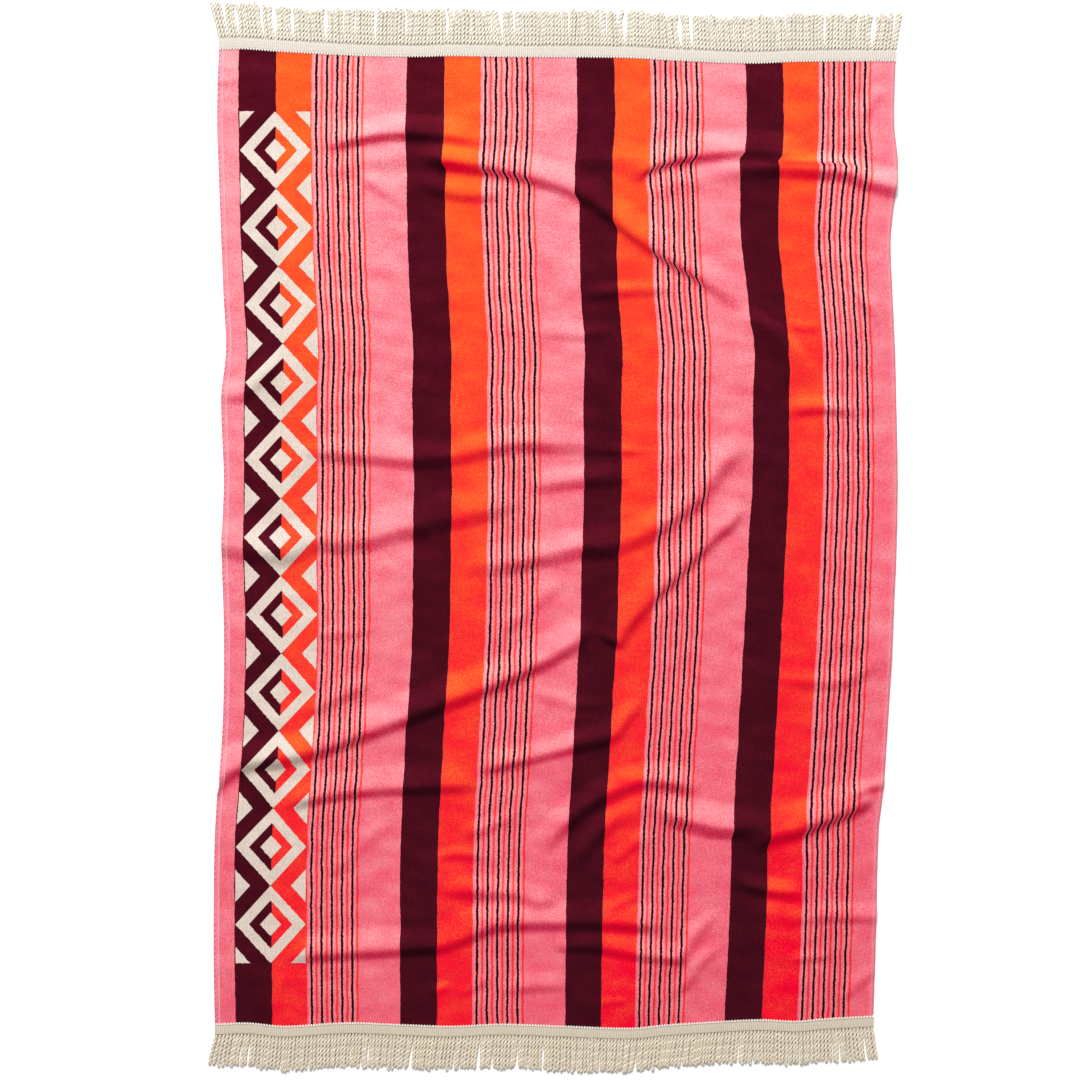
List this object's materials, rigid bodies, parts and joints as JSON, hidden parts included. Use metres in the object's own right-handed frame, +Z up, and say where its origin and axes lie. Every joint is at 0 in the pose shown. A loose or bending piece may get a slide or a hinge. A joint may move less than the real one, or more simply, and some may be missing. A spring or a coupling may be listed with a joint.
{
  "type": "fringed bath sheet laid out flat",
  "caption": "Striped cotton velour bath sheet laid out flat with soft creases, a ribbed header tape and twisted cord fringe sewn over both ends.",
  "frame": {"origin": "on the surface that the sheet lies on, under the middle of its bounding box", "axes": "+X across the sheet to the right, +Y along it to the upper fringe, +Z up from the surface"},
  "size_m": [1.0152, 1.5918, 0.0133],
  "materials": {
    "velour": "sheared cotton velour terry in pink, orange and dark maroon stripes",
    "trim": "natural cotton ribbed tape and two-ply twisted cords"
  },
  "bodies": {
    "root": {"cloth": "velour", "fringe_top": "trim", "fringe_bottom": "trim"}
  },
  "joints": []
}
